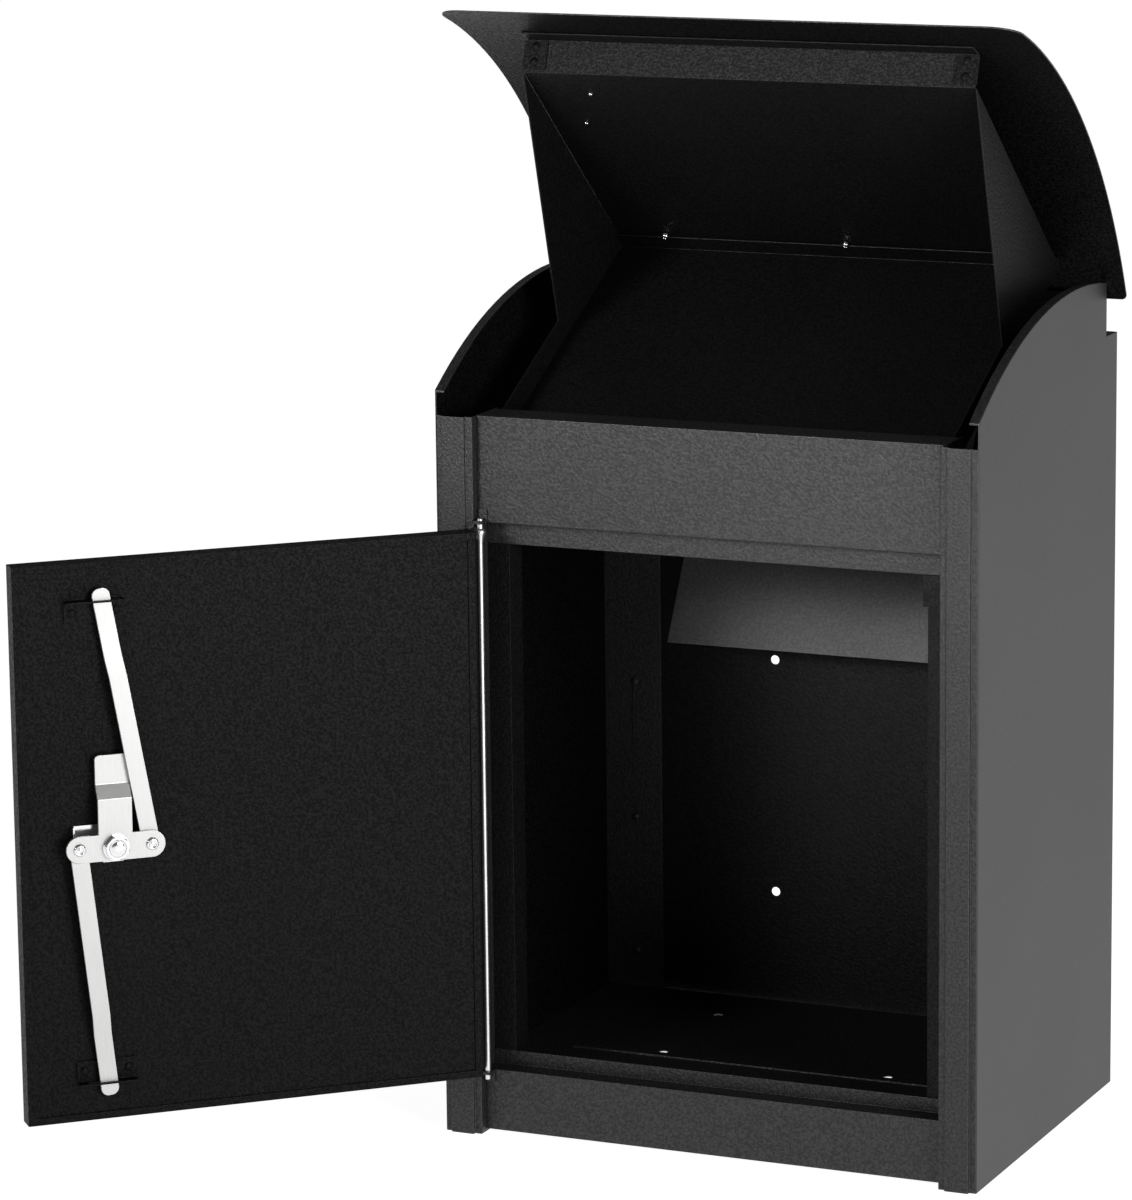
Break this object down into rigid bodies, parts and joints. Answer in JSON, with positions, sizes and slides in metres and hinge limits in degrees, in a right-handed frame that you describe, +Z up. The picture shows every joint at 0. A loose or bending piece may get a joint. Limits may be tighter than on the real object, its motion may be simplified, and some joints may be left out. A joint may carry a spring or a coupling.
{
  "type": "parcel drop box",
  "caption": "Free-standing steel parcel drop box with a curved tilting lid carrying a V-shaped hopper and a lockable front door with a three-point cam lock.",
  "frame": {"origin": "centre of the cabinet's footprint on the floor", "axes": "+Z up, -Y out of the front door, +X to the viewer's right when facing the front"},
  "size_m": [0.5987, 0.5145, 0.7644],
  "materials": {
    "powder_coat_black": "fine textured powder coat, satin",
    "powder_coat_liner": "fine textured powder coat, satin",
    "stainless_lock": "brushed along the part",
    "chrome_lock": "bright plated",
    "zinc_rod": "bright zinc",
    "rivet_steel": "plain rivets",
    "rivet_black": "painted rivets"
  },
  "bodies": {
    "cabinet": {"side_panel_left": "powder_coat_black", "side_panel_right": "powder_coat_black", "back_panel": "powder_coat_black", "back_rivets": "rivet_black", "floor_panel": "powder_coat_black", "fascia": "powder_coat_black", "plinth": "powder_coat_black", "door_stop_left": "powder_coat_black", "door_stop_right": "powder_coat_black", "rear_baffle": "powder_coat_black", "hinge_leaves_fixed": "powder_coat_black", "hinge_pins": "zinc_rod", "pivot_lug_top": "powder_coat_black", "pivot_lug_bottom": "powder_coat_black"},
    "lid": {"hinge_leaves_lid": "powder_coat_black", "lid_shell": "powder_coat_black", "hopper_back": "powder_coat_black", "hopper_floor": "powder_coat_black", "hopper_wing_left": "powder_coat_black", "hopper_wing_right": "powder_coat_black", "lip_brackets": "powder_coat_black", "lip_rivets": "rivet_steel"},
    "door": {"door_skin": "powder_coat_black", "door_liner": "powder_coat_liner", "door_hinge_curl": "powder_coat_black", "hinge_rod": "zinc_rod", "lock_barrel": "chrome_lock", "barrel_nut": "chrome_lock", "cam_stop": "chrome_lock", "rod_guide_upper": "powder_coat_black", "rod_guide_lower": "powder_coat_black", "guide_rivets": "rivet_steel"},
    "lock_cam": {"key_plug": "chrome_lock", "cam_plate": "stainless_lock", "cam_nut": "chrome_lock", "cam_washer": "chrome_lock", "rod_pin_upper": "chrome_lock", "rod_pin_lower": "chrome_lock"},
    "rod_upper": {"lock_rod_upper": "stainless_lock"},
    "rod_lower": {"lock_rod_lower": "stainless_lock"}
  },
  "joints": [
    {"name": "lid_hinge", "type": "hinge", "parent": "cabinet", "child": "lid", "pos_m": [0, 0.117, 0.5675], "axis": [1, 0, 0], "range_deg": [0, 55.9]},
    {"name": "door_hinge", "type": "hinge", "parent": "cabinet", "child": "door", "pos_m": [-0.1615, -0.1359, 0.235], "axis": [0, 0, 1], "range_deg": [-25, 136.6]},
    {"name": "lock_turn", "type": "hinge", "parent": "door", "child": "lock_cam", "pos_m": [-0.33421, -0.33749, 0.234], "axis": [0.6871, -0.7266, 0], "range_deg": [0, 90]},
    {"name": "upper_rod_pivot", "type": "hinge", "parent": "lock_cam", "child": "rod_upper", "pos_m": [-0.31641, -0.32066, 0.234], "axis": [0.6871, -0.7266, 0], "range_deg": [-99, 1]},
    {"name": "lower_rod_pivot", "type": "hinge", "parent": "lock_cam", "child": "rod_lower", "pos_m": [-0.35202, -0.35432, 0.234], "axis": [0.6871, -0.7266, 0], "range_deg": [-100, 1]}
  ],
  "couplings": [
    {"joint": "upper_rod_pivot", "follows": "lock_turn", "ratio": -1.092},
    {"joint": "lower_rod_pivot", "follows": "lock_turn", "ratio": -1.103}
  ]
}
